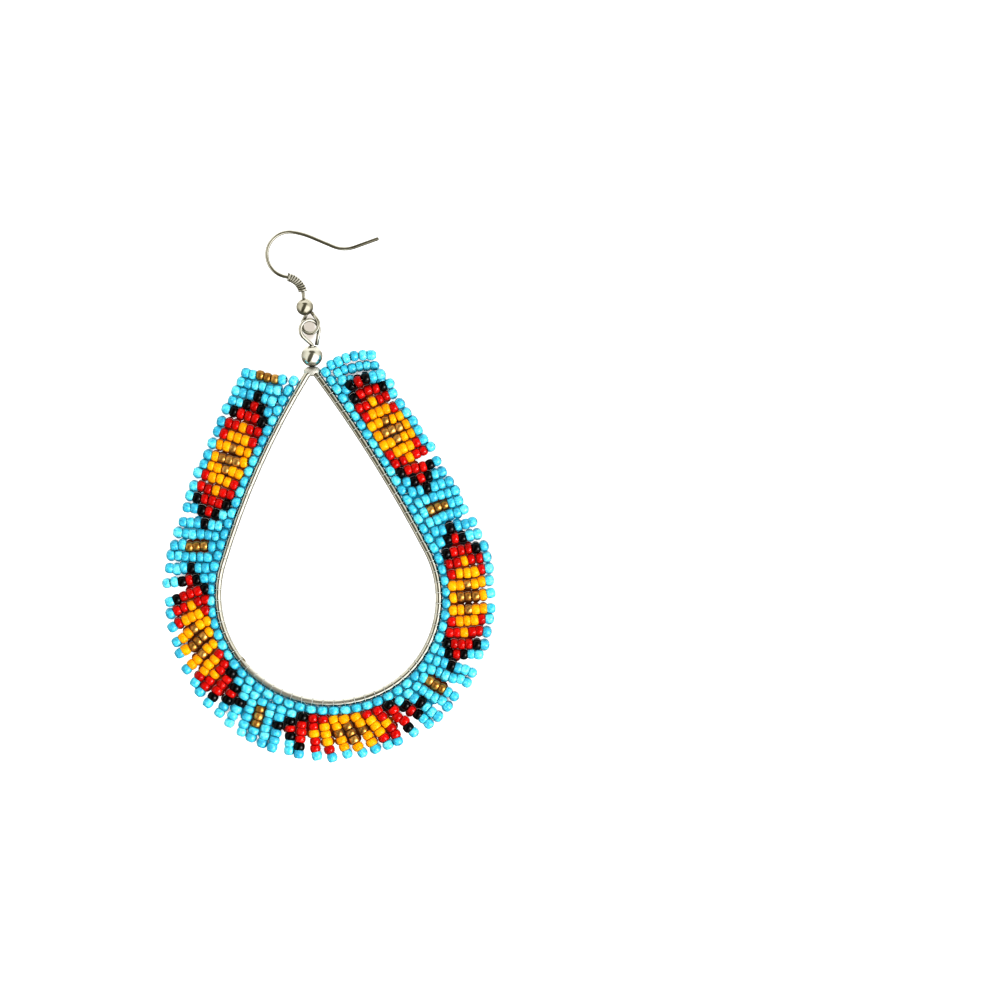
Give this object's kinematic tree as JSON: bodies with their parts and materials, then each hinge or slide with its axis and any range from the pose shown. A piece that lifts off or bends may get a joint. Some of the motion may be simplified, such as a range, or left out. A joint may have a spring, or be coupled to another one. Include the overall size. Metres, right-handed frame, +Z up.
{
  "type": "beaded hoop earring",
  "caption": "Teardrop wire hoop earring edged with a leaning fringe of seed beads in a diamond pattern, hung from a fish-hook ear wire with a coil and a ball.",
  "frame": {"origin": "centre of the earring's outline, on the surface that it lies on", "axes": "+Y from the hoop's round end to the ear wire, +Z up from the surface, +X to the right as seen from above"},
  "size_m": [0.063, 0.1, 0.004],
  "materials": {
    "silver_wire": "polished silver wire with small scratches",
    "coil_wire": "fine silver wire, dark between its turns",
    "silver_ball": "mirror-polished silver",
    "seed_beads": "opaque glossy glass: mostly turquoise blue, with diamonds in black, red, yellow and metallic bronze",
    "sewing_thread": "fine translucent white thread"
  },
  "bodies": {
    "root": {"ear_hook": "silver_wire", "hook_coil": "coil_wire", "hook_ball": "silver_ball", "frame": "silver_wire", "frame_ball": "silver_ball", "beadwork": "seed_beads"}
  },
  "joints": []
}
